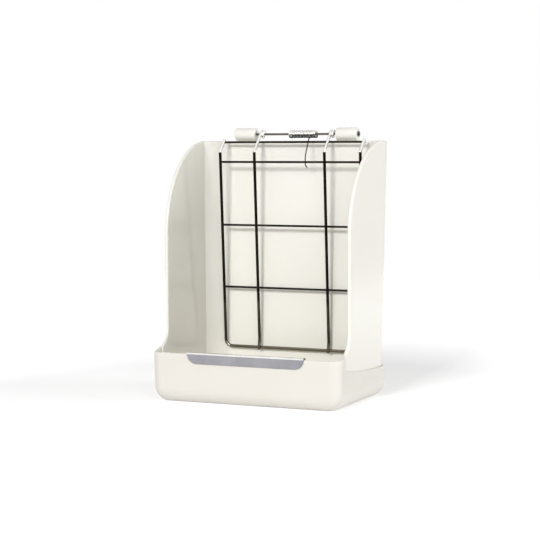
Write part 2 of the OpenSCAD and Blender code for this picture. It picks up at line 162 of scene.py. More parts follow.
TOP_BAR = BEND + OUT * (OUTER_TIP - TOP_BAR_INSET) + OUT_BACK * WELD_OFFSET

# Torsion spring
SPRING_WIRE_R = 0.5
SPRING_R = 3.0
SPRING_TURNS = 18
SPRING_PITCH = 1.43
SPRING_LEFT = -6.2
SPRING_RIGHT = SPRING_LEFT + SPRING_TURNS * SPRING_PITCH
TAIL_LEFT = SPRING_RIGHT - 5.7
HOOK_X = TAIL_LEFT + 1.5
LEG_GAP = 0.35

# ---------------------------------------------------------------- materials

# Scales of the noise, in cells per metre
COLOUR_DRIFT = 9
GLOSS_DRIFT = 26
SURFACE_WAVES = 14
MOULD_GRAIN = 1400
TARNISH = 60
BAND_EDGES = 120
DRAWN_LINES = 900

# Depths of the relief, in metres
WAVE_DEPTH = 0.0006
GRAIN_DEPTH = 0.00005
LINE_DEPTH = 0.00003
WAVE_STRENGTH = 0.25

# Height of the scale of the painted reflection bands and how far noise moves a band's edge, in
# metres
BAND_TOP = 0.25
BAND_DRIFT = 0.002

EVEN = (1, 1, 1)
ALONG_ROD = (0.1, 1, 1)
BRUSHED_ACROSS = (0.02, 1, 1)

# Wire colours by height stand in for reflections: a pale painted highlight on the top bends, a dark
# body, and brown and olive painted reflections low down.
PAINTED_HIGHLIGHT_PALE = (0.9, 0.89, 0.86, 1)
DARK_WIRE = (0.012, 0.010, 0.007, 1)
OLIVE_WIRE = (0.055, 0.049, 0.035, 1)
OLIVE_WIRE_LOW = (0.075, 0.066, 0.047, 1)
BROWN_WIRE = (0.20, 0.18, 0.14, 1)
WIRE_REFLECTION_BANDS = [(0.040, BROWN_WIRE), (0.044, OLIVE_WIRE_LOW), (0.076, OLIVE_WIRE),
              (0.082, DARK_WIRE), (0.2148, DARK_WIRE), (0.2168, PAINTED_HIGHLIGHT_PALE)]
# Spring coil by height: dark below, with a pale painted highlight along its top.
SPRING_HIGHLIGHT_BANDS = [(0.2302, (0.03, 0.028, 0.022, 1)), (0.2316, (0.96, 0.95, 0.92, 1))]


def new_material(name):
    material = bpy.data.materials.new(name)
    material.use_nodes = True
    tree = material.node_tree
    return material, tree, tree.nodes["Principled BSDF"]


def math_node(tree, operation):
    node = tree.nodes.new("ShaderNodeMath")
    node.operation = operation
    return node


def noise(tree, scale, detail=3.0, stretch=EVEN):
    """Noise in object space, in metres, drawn out by stretch."""
    place = tree.nodes.new("ShaderNodeTexCoord")
    mapping = tree.nodes.new("ShaderNodeMapping")
    mapping.inputs["Scale"].default_value = stretch
    tree.links.new(place.outputs["Object"], mapping.inputs["Vector"])
    texture = tree.nodes.new("ShaderNodeTexNoise")
    texture.inputs["Scale"].default_value = scale
    texture.inputs["Detail"].default_value = detail
    tree.links.new(mapping.outputs["Vector"], texture.inputs["Vector"])
    return texture.outputs["Fac"]


def ramp(tree, factor, *colours):
    """Colour that goes with a factor; colours are (position, colour) from low to high."""
    node = tree.nodes.new("ShaderNodeValToRGB")
    stops = node.color_ramp.elements
    while len(stops) < len(colours):
        stops.new(1.0)
    for stop, (position, colour) in zip(stops, colours):
        stop.position = position
        stop.color = colour
    tree.links.new(factor, node.inputs["Fac"])
    return node.outputs["Color"]


def grey(value):
    return (value, value, value, 1)


def bump(tree, height, strength, distance, onto=None):
    node = tree.nodes.new("ShaderNodeBump")
    node.inputs["Strength"].default_value = strength
    node.inputs["Distance"].default_value = distance
    tree.links.new(height, node.inputs["Height"])
    if onto is not None:
        tree.links.new(onto, node.inputs["Normal"])
    return node.outputs["Normal"]


def plastic(name, base, shade, gloss, grain):
    """Moulded plastic: faint colour drift, uneven gloss and a fine mould grain."""
    material, tree, shader = new_material(name)
    colour = ramp(tree, noise(tree, COLOUR_DRIFT), (0.3, base), (0.7, shade))
    tree.links.new(colour, shader.inputs["Base Color"])
    rough = ramp(tree, noise(tree, GLOSS_DRIFT, 5), (0.3, grey(gloss[0])), (0.75, grey(gloss[1])))
    tree.links.new(rough, shader.inputs["Roughness"])
    waves = bump(tree, noise(tree, SURFACE_WAVES, 1), WAVE_STRENGTH, WAVE_DEPTH)
    surface = bump(tree, noise(tree, MOULD_GRAIN, 2), grain, GRAIN_DEPTH, waves)
    tree.links.new(surface, shader.inputs["Normal"])
    shader.inputs["IOR"].default_value = 1.5
    shader.inputs["Subsurface Weight"].default_value = 0.12
    shader.inputs["Subsurface Radius"].default_value = (0.004, 0.003, 0.002)
    shader.inputs["Subsurface Scale"].default_value = 0.5
    return material


def draw_lines(tree, shader, gloss, stretch, scratch):
    """Fine drawn or brushed lines in a metal's gloss and surface."""
    shader.inputs["Metallic"].default_value = 1.0
    lines = noise(tree, DRAWN_LINES, 4, stretch)
    rough = ramp(tree, lines, (0.3, grey(gloss[0])), (0.7, grey(gloss[1])))
    tree.links.new(rough, shader.inputs["Roughness"])
    tree.links.new(bump(tree, lines, scratch, LINE_DEPTH), shader.inputs["Normal"])


def metal(name, base, dull, gloss, stretch, scratch):
    """Drawn or brushed metal with uneven tarnish."""
    material, tree, shader = new_material(name)
    colour = ramp(tree, noise(tree, TARNISH, 4), (0.35, base), (0.7, dull))
    tree.links.new(colour, shader.inputs["Base Color"])
    draw_lines(tree, shader, gloss, stretch, scratch)
    return material


def painted_reflection_metal(name, bands, gloss):
    """Plated metal with painted reflections, whose colour goes with height; bands are (metres,
    colour) from low to high.
    """
    material, tree, shader = new_material(name)
    shader.inputs["Specular Tint"].default_value = grey(0.1)
    place = tree.nodes.new("ShaderNodeTexCoord")
    split = tree.nodes.new("ShaderNodeSeparateXYZ")
    tree.links.new(place.outputs["Object"], split.inputs["Vector"])
    drift = math_node(tree, "MULTIPLY_ADD")
    drift.inputs[1].default_value = BAND_DRIFT
    tree.links.new(noise(tree, BAND_EDGES, 4), drift.inputs[0])
    tree.links.new(split.outputs["Z"], drift.inputs[2])
    level = tree.nodes.new("ShaderNodeMapRange")
    level.inputs["From Max"].default_value = BAND_TOP
    tree.links.new(drift.outputs["Value"], level.inputs["Value"])
    stops = [((height + BAND_DRIFT / 2) / BAND_TOP, colour) for height, colour in bands]
    tree.links.new(ramp(tree, level.outputs["Result"], *stops), shader.inputs["Base Color"])
    draw_lines(tree, shader, gloss, EVEN, 0.1)
    return material


HOOD_PLASTIC = plastic("hood_plastic", (0.90, 0.885, 0.822, 1), (0.88, 0.865, 0.797, 1),
                       (0.12, 0.2), 0.06)
# The tray's base is darker than the hood's: partly the tray's own slightly more yellow tone, partly
# painted shade for the light its matte sides give back less.
TRAY_PLASTIC = plastic("tray_plastic", (0.80, 0.775, 0.715, 1), (0.78, 0.75, 0.69, 1),
                       (0.32, 0.44), 0.3)
WIRE_METAL = painted_reflection_metal("plated_wire", WIRE_REFLECTION_BANDS, (0.12, 0.26))
BAR_METAL = metal("dark_plated_wire", (0.045, 0.04, 0.03, 1), (0.015, 0.013, 0.01, 1),
                  (0.12, 0.26), EVEN, 0.1)
WELD_METAL = metal("weld_metal", (0.16, 0.14, 0.11, 1), (0.07, 0.06, 0.05, 1),
                   (0.3, 0.5), EVEN, 0.4)
ROD_METAL = metal("rod_metal", (0.16, 0.15, 0.135, 1), (0.10, 0.095, 0.085, 1),
                  (0.14, 0.28), ALONG_ROD, 0.2)
SPRING_METAL = painted_reflection_metal("spring_metal", SPRING_HIGHLIGHT_BANDS, (0.16, 0.3))
# Pale metal for painted highlights: the spring's fixed leg, the guard's fold and the rod's ends.
HIGHLIGHT_PAINTED_METAL = metal("painted_highlight_metal", PAINTED_HIGHLIGHT_PALE, (0.8, 0.79, 0.76, 1), (0.12, 0.26), EVEN, 0.1)
GUARD_METAL = metal("guard_metal", (0.33, 0.33, 0.353, 1), (0.275, 0.275, 0.298, 1),
                    (0.14, 0.26), BRUSHED_ACROSS, 0.3)
# Dark metal for painted shade on the guard's cut edges.
EDGE_SHADE_METAL = metal("cut_edge_painted_shade", grey(0.03), grey(0.06), (0.3, 0.5), EVEN, 0.3)


def paint(obj, material):
    obj.data.materials.clear()
    obj.data.materials.append(material)
    for face in obj.data.polygons:
        face.material_index = 0


def paint_where(obj, material, chosen):
    """Further material on the faces that chosen(centre, normal) picks, in metres in the frame."""
    obj.data.materials.append(material)
    turn = obj.matrix_world.to_3x3()
    for face in obj.data.polygons:
        if chosen(obj.matrix_world @ face.center, (turn @ face.normal).normalized()):
            face.material_index = len(obj.data.materials) - 1


# ---------------------------------------------------------------- mesh helpers

SHARP_ANGLE = math.radians(38)
WELD_DISTANCE = 1e-6


def new_piece(name, points, faces, material, body, slot, stands_for=()):
    """Smooth mesh from points in millimetres, riding on a body of the frame."""
    mesh = bpy.data.meshes.new(name)
    mesh.from_pydata([Vector(p) * MM for p in points], [], faces)
    mesh.validate()
    fix = bmesh.new()
    fix.from_mesh(mesh)
    bmesh.ops.remove_doubles(fix, verts=fix.verts, dist=WELD_DISTANCE)
    bmesh.ops.dissolve_degenerate(fix, edges=fix.edges, dist=WELD_DISTANCE)
    bmesh.ops.recalc_face_normals(fix, faces=fix.faces)
    fix.to_mesh(mesh)
    fix.free()
    obj = bpy.data.objects.new(name, mesh)
    bpy.context.scene.collection.objects.link(obj)
    paint(obj, material)
    for face in mesh.polygons:
        face.use_smooth = True
    mesh.set_sharp_from_angle(angle=SHARP_ANGLE)
    if body:
        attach(obj, body)
    if stands_for:
        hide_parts(*stands_for)
    return obj


def grid_faces(rows, columns, first=0, closed=False):
    """Quads between neighbouring rows of points that lie one row after another."""
    span = columns if closed else columns - 1
    return [(first + r * columns + c, first + r * columns + (c + 1) % columns,
             first + (r + 1) * columns + (c + 1) % columns, first + (r + 1) * columns + c)
            for r in range(rows - 1) for c in range(span)]


def end_faces(rows, columns):
    """Caps on the first and the last of closed rows of points."""
    return [tuple(range(columns - 1, -1, -1)), tuple(range((rows - 1) * columns, rows * columns))]


def merge(*parts):
    """One list of points and faces from several."""
    points, faces = [], []
    for more_points, more_faces in parts:
        start = len(points)
        points += list(more_points)
        faces += [tuple(start + i for i in face) for face in more_faces]
    return points, faces


def lerp(a, b, t):
    return a + (b - a) * t


def spread(count):
    """count values from 0 to 1."""
    return [i / (count - 1) for i in range(count)]


def angles(*degrees):
    return [math.radians(d) for d in degrees]


def arc(centre, radius, start, end, count, x):
    """Arc in a plane of constant x; angles in degrees, from +Y towards +Z."""
    turns = angles(*(lerp(start, end, t) for t in spread(count)))
    return [(x, centre[0] + radius * math.cos(a), centre[1] + radius * math.sin(a)) for a in turns]


DOME = angles(85, 60, 30)


def tube(path, radius, sides):
    """Points and faces of a round wire along a path in millimetres, with domed ends."""
    path = [Vector(p) for p in path]
    headings = [(path[min(i + 1, len(path) - 1)] - path[max(i - 1, 0)]).normalized()
                for i in range(len(path))]
    normal = headings[0].orthogonal().normalized()
    stations = []
    for point, heading in zip(path, headings):
        normal = (normal - normal.dot(heading) * heading).normalized()
        stations.append((point, heading, normal.copy(), radius))
    point, heading, normal, _ = stations[0]
    first = [(point - heading * radius * math.sin(a), heading, normal, radius * math.cos(a))
             for a in DOME]
    point, heading, normal, _ = stations[-1]
    last = [(point + heading * radius * math.sin(a), heading, normal, radius * math.cos(a))
            for a in reversed(DOME)]
    stations = first + stations + last
    points = []
    for point, heading, normal, size in stations:
        side = heading.cross(normal)
        for k in range(sides):
            angle = 2 * math.pi * k / sides
            points.append(point + size * (math.cos(angle) * normal + math.sin(angle) * side))
    return points, grid_faces(len(stations), sides, closed=True) + end_faces(len(stations), sides)


# ---------------------------------------------------------------- tray

SIDE_RIM_R = 0.7
LIP_RIM_R = 1.45
SEAT_STEP = 0.05
TRAY_CORNER_COLUMNS = 19
TRAY_SIDE_COLUMNS = 30
TRAY_ACROSS_COLUMNS = 34
BEFORE_SEAM = (0.33, 0.66, 1.0)


def sweep_height(y):
    """Height of the tray's corner, which sweeps from the side rim up to the lip."""
    return SWEEP_CENTRE[1] - SWEEP[1] * math.sqrt(1 - ((y - SWEEP_CENTRE[0]) / SWEEP[0]) ** 2)


def rim_height(y):
    """Height of the side rim, which rises towards the front."""
    return SIDE_HEIGHT + RIM_RISE * (max(RIM_FROM - y, 0) / (RIM_FROM - SEAM_Y)) ** 2


def tray_columns():
    """Places round the tray: (segment, fraction along it, stands behind the seam, side)."""
    right = [("front_corner", t, False) for t in spread(TRAY_CORNER_COLUMNS)]
    right += [("before_seam", t, False) for t in BEFORE_SEAM]
    right += [("behind_seam", t, True) for t in spread(TRAY_SIDE_COLUMNS)]
    right += [("back_corner", t, True) for t in spread(TRAY_CORNER_COLUMNS)[1:]]
    left = [(*column, -1) for column in reversed(right)]
    right = [(*column, 1) for column in right]
    across = spread(TRAY_ACROSS_COLUMNS)[1:-1]
    front = [("front", t, False, 1) for t in across]
    back = [("back", t, True, 1) for t in across]
    return front + right + back + left


def tray_point(column, inset, z):
    """Point of the tray's outline at a column, set in by inset, at height z."""
    segment, t, _, side = column
    lean = z * TRAY_DRAFT
    half = TRAY_HALF_WIDTH - inset + lean
    front = -TRAY_HALF_DEPTH + inset - lean
    back = TRAY_HALF_DEPTH - inset
    front_r = max(TRAY_FRONT_R - inset, 1)
    back_r = max(TRAY_BACK_R - inset, 1)
    if segment == "front":
        return (lerp(-(half - front_r), half - front_r, t), front, z)
    if segment == "back":
        return (lerp(half - back_r, -(half - back_r), t), back, z)
    if segment == "front_corner":
        angle = math.radians(lerp(-90, 0, t))
        return (side * (half - front_r + front_r * math.cos(angle)),
                front + front_r + front_r * math.sin(angle), z)
    if segment == "back_corner":
        angle = math.radians(lerp(0, 90, t))
        return (side * (half - back_r + back_r * math.cos(angle)),
                back - back_r + back_r * math.sin(angle), z)
    start, end = {"before_seam": (front + front_r, SEAM_Y),
                  "behind_seam": (SEAM_Y, back - back_r)}[segment]
    return (side * half, lerp(start, end, t), z)


def tray_section(column):
    """(inset, z) of the wall at a column, from the underside, over the rim, to the floor inside."""
    outer_y = tray_point(column, 0, LIP_HEIGHT)[1]
    if column[2]:
        top, rim, thick = rim_height(outer_y), SIDE_RIM_R, TRAY_WALL - SEAT_LEDGE
    else:
        top = LIP_HEIGHT if outer_y < SWEEP_CENTRE[0] else sweep_height(outer_y)
        rim, thick = LIP_RIM_R, TRAY_WALL
    section = [(TRAY_FOOT_R * (1 - math.sin(a)), TRAY_FOOT_R * (1 - math.cos(a)))
               for a in angles(*range(0, 91, 9))]
    section += [(0, lerp(TRAY_FOOT_R, top - rim, t)) for t in spread(7)[1:]]
    section += [(rim * (1 - math.cos(a)), top - rim * (1 - math.sin(a)))
                for a in angles(*range(18, 91, 18))]
    section += [(thick - rim * (1 - math.cos(a)), top - rim * (1 - math.sin(a)))
                for a in angles(*range(90, -1, -18))]
    section += [(thick, lerp(top - rim, SEAT_HEIGHT, t)) for t in spread(5)[1:]]
    section.append((TRAY_WALL, SEAT_HEIGHT - SEAT_STEP))
    inner_foot = TRAY_FOOT_R - TRAY_WALL
    section += [(TRAY_WALL + inner_foot * (1 - math.cos(a)),
                 TRAY_WALL + inner_foot * (1 - math.sin(a))) for a in angles(*range(0, 91, 15))]
    return section


def build_tray():
    columns = tray_columns()
    sections = [tray_section(column) for column in columns]
    rows, count = len(sections[0]), len(columns)
    points = [tray_point(column, *section[r])
              for r in range(rows) for column, section in zip(columns, sections)]
    faces = grid_faces(rows, count, closed=True) + end_faces(rows, count)
    new_piece("tray_moulding", points, faces, TRAY_PLASTIC, "casing", "tray_plastic", ["hay_tray"])


# ---------------------------------------------------------------- hood

# Rounding of the hood's free edges and of the edge hidden in the seam
EDGE_R = 1.5
SEAM_EDGE_R = 0.3
# Inside of the upright back corners: reach across, reach to the front, crease in degrees
INNER_CORNER = (16.5, 16.0, 42)
WALL_COLUMNS = 26
CORNER_COLUMNS = 12
BACK_COLUMNS = 30
SKIRT_STEP = 0.01
SEAM_ROWS = 6
SWEEP_ROWS = 15
POST_ROWS = 16
TOP_ROWS = 40
RIM_ARC = angles(*range(20, 161, 20))

KNUCKLE_SPAN = (-62, 222)
KNUCKLE_POINTS = 40
KNUCKLE_EDGE_R = 0.9
KNUCKLE_ROOT_DROP = 2.4
KNUCKLE_ROOT_INSET = 0.3
# The rod's bore in a knuckle: (depth from the end, radius)
BORE = [(2.5, ROD_R + 0.12), (0.5, ROD_R + 0.12), (0, ROD_R + 0.6)]


def hood_levels():
    """Heights up the hood: (z, y of the front edge, way the edge faces, rounding, skirt)."""
    edge_y = SEAM_Y + FIT_GAP
    seam_angle = math.acos((edge_y - SWEEP_CENTRE[0]) / SWEEP[0])
    seam_top = SWEEP_CENTRE[1] - SWEEP[1] * math.sin(seam_angle)
    foot = SIDE_HEIGHT + FIT_GAP
    front = (-1, 0)
    levels = [(SEAT_HEIGHT + FIT_GAP, edge_y, front, SEAM_EDGE_R, True),
              (foot - SKIRT_STEP, edge_y, front, SEAM_EDGE_R, True)]
    levels += [(lerp(foot, seam_top - 2 * EDGE_R, t), edge_y, front, SEAM_EDGE_R, False)
               for t in spread(SEAM_ROWS)]
    for t in spread(SWEEP_ROWS):
        angle = lerp(seam_angle, 0, t)
        facing = Vector((-math.cos(angle) / SWEEP[0], math.sin(angle) / SWEEP[1])).normalized()
        levels.append((SWEEP_CENTRE[1] - SWEEP[1] * math.sin(angle),
                       SWEEP_CENTRE[0] + SWEEP[0] * math.cos(angle),
                       tuple(facing), EDGE_R, False))
    levels += [(lerp(SWEEP_CENTRE[1], TOP_CENTRE[1], t), HOOD_FRONT, front, EDGE_R, False)
               for t in spread(POST_ROWS)[1:]]
    for t in spread(TOP_ROWS)[1:]:
        angle = lerp(0, math.pi / 2, t)
        facing = Vector((-math.cos(angle) / TOP_CURVE[0],
                         math.sin(angle) / TOP_CURVE[1])).normalized()
        levels.append((TOP_CENTRE[1] + TOP_CURVE[1] * math.sin(angle),
                       TOP_CENTRE[0] - TOP_CURVE[0] * math.cos(angle),
                       tuple(facing), EDGE_R, False))
    return levels


def hood_row(z, front_y, skirt, inset, corner=None):
    """The hood's wall at height z, from the left front edge round the back to the right one."""
    up = (z - SIDE_HEIGHT) / (HOOD_HEIGHT - SIDE_HEIGHT)
    back = HOOD_BACK + (0 if skirt else HOOD_LEAN * up) - inset
    across, deep, crease = corner or (HOOD_CORNER_R - inset, HOOD_CORNER_R - inset, 0)
    corner_y = back - deep
    if skirt:
        half_back = half_front = HOOD_HALF_SKIRT
    else:
        half_back = HOOD_HALF_LOW + HOOD_FLARE * up
        half_front = lerp(HOOD_HALF_LOW + HOOD_TOE_OUT,
                          HOOD_HALF_LOW + HOOD_FLARE - HOOD_TOE_IN, up)
    right = []
    for t in spread(WALL_COLUMNS):
        y = lerp(front_y, corner_y, t)
        along = (y - HOOD_POST_Y) / (corner_y - HOOD_POST_Y)
        # 16 brings the product to 1 in the middle of the wall
        bulge = 0 if skirt else HOOD_BULGE * 16 * along * (1 - along) * up * (1 - up)
        right.append((lerp(half_front, half_back, along) + bulge - inset, y, z))
    lead = deep * math.tan(math.radians(crease))
    for t in spread(CORNER_COLUMNS)[1:]:
        if corner:
            step_in = 2 * t * (1 - t) * lead + t * t * across
            step_back = deep * (1 - (1 - t) ** 2)
        else:
            step_in = across * (1 - math.cos(math.radians(90 * t)))
            step_back = deep * math.sin(math.radians(90 * t))
        right.append((half_back - inset - step_in, corner_y + step_back, z))
    reach = half_back - inset - across
    middle = [(lerp(reach, -reach, t), back, z) for t in spread(BACK_COLUMNS)[1:-1]]
    left = [(-x, y, z) for x, y, z in reversed(right)]
    return right + middle + left


def knuckle(start, end):
    """Hinge knuckle from x=start to x=end, rounded at both ends and open for the rod."""
    turns = angles(*(lerp(*KNUCKLE_SPAN, t) for t in spread(KNUCKLE_POINTS)))
    outline = [(KNUCKLE_R * math.cos(a), KNUCKLE_R * math.sin(a)) for a in turns]
    wall_y = HOOD_BACK + HOOD_LEAN - ROD_Y
    root_z = HOOD_HEIGHT - KNUCKLE_ROOT_DROP - ROD_Z
    outline += [(wall_y - HOOD_WALL + KNUCKLE_ROOT_INSET, root_z),
                (wall_y - KNUCKLE_ROOT_INSET, root_z)]
    length = end - start
    swell = [(KNUCKLE_EDGE_R * (1 - math.cos(a)),
              (KNUCKLE_R - KNUCKLE_EDGE_R * (1 - math.sin(a))) / KNUCKLE_R)
             for a in angles(0, 30, 60, 90)]
    swell += [(length - step, scale) for step, scale in reversed(swell)]

    def bore_ring(depth, radius):
        ring = [math.atan2(z, y) for y, z in outline]
        return [(start + depth, ROD_Y + radius * math.cos(a), ROD_Z + radius * math.sin(a))
                for a in ring]

    points = [p for depth, radius in BORE for p in bore_ring(depth, radius)]
    points += [(start + step, ROD_Y + y * scale, ROD_Z + z * scale)
               for step, scale in swell for y, z in outline]
    points += [p for depth, radius in reversed(BORE) for p in bore_ring(length - depth, radius)]
    return points, grid_faces(len(swell) + 2 * len(BORE), len(outline), closed=True)


def hood_shell():
    """The hood's two faces, joined by a rounded rim along the free edges and a flat foot."""
    outer, inner, edges = [], [], []
    for z, front_y, facing, rounding, skirt in hood_levels():
        row_z = z - rounding * facing[1]
        row_y = front_y - rounding * facing[0]
        outer.append(hood_row(row_z, row_y, skirt, 0))
        inner.append(hood_row(row_z, row_y, skirt, HOOD_WALL, INNER_CORNER))
        edges.append((facing, rounding))
    rows, columns = len(outer), len(outer[0])
    shift = rows * columns
    points = [p for row in outer + inner for p in row]
    faces = grid_faces(rows, columns) + grid_faces(rows, columns, first=shift)
    rim = [(r * columns, edges[r]) for r in range(rows)]
    rim += [((rows - 1) * columns + c, ((0, 1), EDGE_R)) for c in range(1, columns - 1)]
    rim += [(r * columns + columns - 1, edges[r]) for r in reversed(range(rows))]
    strips = []
    for index, (facing, rounding) in rim:
        a, b = Vector(points[index]), Vector(points[index + shift])
        middle, half = (a + b) / 2, (a - b) / 2
        away = Vector((0, *facing)) * rounding
        first = len(points)
        points += [middle + half * math.cos(s) + away * math.sin(s) for s in RIM_ARC]
        strips.append([index, *range(first, len(points)), index + shift])
    for here, after in zip(strips, strips[1:]):
        faces += [(here[k], after[k], after[k + 1], here[k + 1]) for k in range(len(here) - 1)]
    faces += [(c, c + 1, c + 1 + shift, c + shift) for c in range(columns - 1)]
    faces += [tuple(strips[0]), tuple(strips[-1])]
    return points, faces


def build_hood():
    parts = merge(hood_shell(), knuckle(KNUCKLE_INNER, KNUCKLE_OUTER),
                  knuckle(-KNUCKLE_OUTER, -KNUCKLE_INNER))
    new_piece("hood_moulding", *parts, HOOD_PLASTIC, "casing", "hood_plastic", ["hood"])


# ---------------------------------------------------------------- grid wires

UPRIGHT_SIDES = 16
# An inner upright's foot: (height above the bottom wire, how far it stands in front)
FOOT_PATH = [(-1.1, 1.5), (1.5, 1.45), (4, 0.9), (6.5, 0.25), (9, 0)]
STRAIGHT_HEIGHTS = (60, 120)
BEND_POINTS = 9
BEND_LEAD = 4
EYE_POINTS = 44
EYE_FLAT = 90

# Half sizes of the weld beads along x, y and z
BAR_BEAD = (1.25, 0.45, 0.95)
TOP_BEAD = (1.25, 0.6, 0.6)
FOOT_BEAD = (1.7, 0.8, 1.2)
FOOT_BEAD_FORWARD = 0.6
BEAD_SIDES = 10
BEAD_RINGS = 6


def build_upright(name, x):
    """Inner upright: welded over the bottom wire, bent at the top and wound round the rod."""
    turn = math.pi / 2 + GRID_TILT - RISE
    trim = BEND_R * math.tan(turn / 2)
    centre = BEND - UP * trim + BACK * BEND_R
    start = math.degrees(math.pi + GRID_TILT)
    path = [(x, *(GRID_FOOT + UP * up - BACK * forward)) for up, forward in FOOT_PATH]
    path += [(x, *(GRID_FOOT + UP * up)) for up in STRAIGHT_HEIGHTS]
    path += arc(centre, BEND_R, start, start - math.degrees(turn), BEND_POINTS, x)
    path.append((x, *(BEND + OUT * (trim + BEND_LEAD))))
    eye_start = math.degrees(RISE) + 90
    for t in spread(EYE_POINTS):
        angle = math.radians(eye_start - EYE_TURN * t)
        shift = EYE_PITCH * max(0, EYE_TURN * t - EYE_FLAT) / 360
        path.append((x + shift, ROD_Y + EYE_R * math.cos(angle), ROD_Z + EYE_R * math.sin(angle)))
    new_piece(name + "_wire", *tube(path, UPRIGHT_R, UPRIGHT_SIDES), WIRE_METAL, "grid",
              "plated_wire", [name])


def bead(centre, size):
    """Small flattened drop of weld metal."""
    points = []
    for r in range(BEAD_RINGS + 1):
        tilt = math.pi * r / BEAD_RINGS
        for k in range(BEAD_SIDES):
            turn = 2 * math.pi * k / BEAD_SIDES
            points.append((centre[0] + size[0] * math.sin(tilt) * math.cos(turn),
                           centre[1] + size[1] * math.sin(tilt) * math.sin(turn),
                           centre[2] + size[2] * math.cos(tilt)))
    return points, grid_faces(BEAD_RINGS + 1, BEAD_SIDES, closed=True)


def build_welds():
    beads = []
    for x in (-OUTER_X, -INNER_X, INNER_X, OUTER_X):
        beads += [bead((x, *(bar - BACK * CROSSBAR_R)), BAR_BEAD)
                  for bar in (*LOWER_BARS, UPPER_BAR)]
        beads.append(bead((x, *(TOP_BAR - OUT_BACK * CROSSBAR_R)), TOP_BEAD))
    beads += [bead((x, *(GRID_FOOT - BACK * FOOT_BEAD_FORWARD)), FOOT_BEAD)
              for x in (-INNER_X, INNER_X)]
    new_piece("weld_beads", *merge(*beads), WELD_METAL, "grid", "plated_wire")


# ---------------------------------------------------------------- torsion spring

SPRING_SIDES = 12
COIL_STEPS = 24
FIXED_LEG = 12
FIXED_LEG_BEND = 4
FIXED_LEG_IN = 2.5
FIXED_LEG_END = 0.6
TAIL_OUT = 1.46
# The hook's bent tip, from its straight leg in front of the upper crossbar
HOOK_RISE = 5.5
HOOK_DROP = 2.6
HOOK_TIP = (0.2, 3.6, -4.6)


def cut_corners(points, passes=3):
    """The same line with its corners rounded, which keeps its two ends."""
    line = [Vector(p) for p in points]
    for _ in range(passes):
        cut = [line[0]]
        for a, b in zip(line, line[1:]):
            cut += [a.lerp(b, 0.25), a.lerp(b, 0.75)]
        line = cut + [line[-1]]
    return line


def build_spring():
    coil_z = ROD_Z - SPRING_R
    leg_y = HOOD_BACK + HOOD_LEAN + LEG_GAP + SPRING_WIRE_R
    tail_y = ROD_Y - math.sqrt((SPRING_R + TAIL_OUT) ** 2 - SPRING_R ** 2)
    hook_y = UPPER_BAR[0] - CROSSBAR_R - LEG_GAP - SPRING_WIRE_R
    hook_z = UPPER_BAR[1]
    over_y = TOP_BAR[0] - CROSSBAR_R - LEG_GAP - SPRING_WIRE_R
    fixed = cut_corners([
        (SPRING_LEFT, leg_y, coil_z - FIXED_LEG),
        (SPRING_LEFT, leg_y, coil_z - FIXED_LEG_BEND),
        (SPRING_LEFT, leg_y, coil_z),
        (SPRING_LEFT, leg_y - FIXED_LEG_IN, coil_z),
        (SPRING_LEFT, ROD_Y + FIXED_LEG_END, coil_z)])
    coil = []
    for i in range(SPRING_TURNS * COIL_STEPS + 1):
        angle = 2 * math.pi * i / COIL_STEPS
        coil.append((SPRING_LEFT + SPRING_PITCH * i / COIL_STEPS,
                     ROD_Y - SPRING_R * math.sin(angle), ROD_Z - SPRING_R * math.cos(angle)))
    hook = cut_corners([
        (SPRING_RIGHT + 0.1, tail_y + 2.2, coil_z),
        (SPRING_RIGHT, tail_y, coil_z),
        (SPRING_RIGHT - 2.5, tail_y, coil_z),
        (TAIL_LEFT, tail_y, coil_z),
        (TAIL_LEFT + 0.3, tail_y - 1.8, coil_z - 1.6),
        (HOOK_X, over_y - 0.2, TOP_BAR[1] + 1.7),
        (HOOK_X, hook_y, hook_z + HOOK_RISE),
        (HOOK_X, hook_y, hook_z),
        (HOOK_X, hook_y, hook_z - HOOK_DROP),
        (HOOK_X + HOOK_TIP[0], hook_y + HOOK_TIP[1], hook_z + HOOK_TIP[2])])
    points, faces = tube(fixed + coil + hook, SPRING_WIRE_R, SPRING_SIDES)
    spring = new_piece("spring_wire", points, faces, SPRING_METAL, None, "spring_steel",
                       ["torsion_spring"])
    # The fixed leg is painted pale as a highlight.
    paint_where(spring, HIGHLIGHT_PAINTED_METAL, on_fixed_leg)
    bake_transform(spring)


# ---------------------------------------------------------------- faces with painted highlights and painted shade

SLIGHT = 0.05
SIDEWAYS = 0.1
STEEP = 0.5
ROD_END_X = KNUCKLE_OUTER + 0.5


def on_fixed_leg(centre, _):
    return centre.y > (ROD_Y + SPRING_R + 1) * MM


def on_cut_edge(_, normal):
    """The guard's cut edges face sideways or down; they are painted dark as shade."""
    return abs(normal.y) < SIDEWAYS and normal.z < STEEP


def on_fold(_, normal):
    """The guard's fold over the lip faces forward and up; it is painted pale as a highlight."""
    return normal.y < -SLIGHT and normal.z > SLIGHT


def on_rod_end(centre, _):
    return centre.x > ROD_END_X * MM or centre.x < -INNER_X * MM


NODE_METALS = {"gnaw_guard": GUARD_METAL, "hinge_rod": ROD_METAL, "rod_push_nut": ROD_METAL,
               "outer_frame_wire": WIRE_METAL}
for node_name, node_object in NODES.items():
    paint(node_object, NODE_METALS.get(node_name, BAR_METAL))

# Painted shade on the guard's cut edges.
paint_where(NODES["gnaw_guard"], EDGE_SHADE_METAL, on_cut_edge)
# Painted highlight along the guard's fold.
paint_where(NODES["gnaw_guard"], HIGHLIGHT_PAINTED_METAL, on_fold)
# Painted highlight on the rod's ends.
paint_where(NODES["hinge_rod"], HIGHLIGHT_PAINTED_METAL, on_rod_end)

build_tray()
build_hood()
build_upright("left_upright", -INNER_X)
build_upright("right_upright", INNER_X)
build_welds()
build_spring()

# ---------------------------------------------------------------- light, floor, backdrop

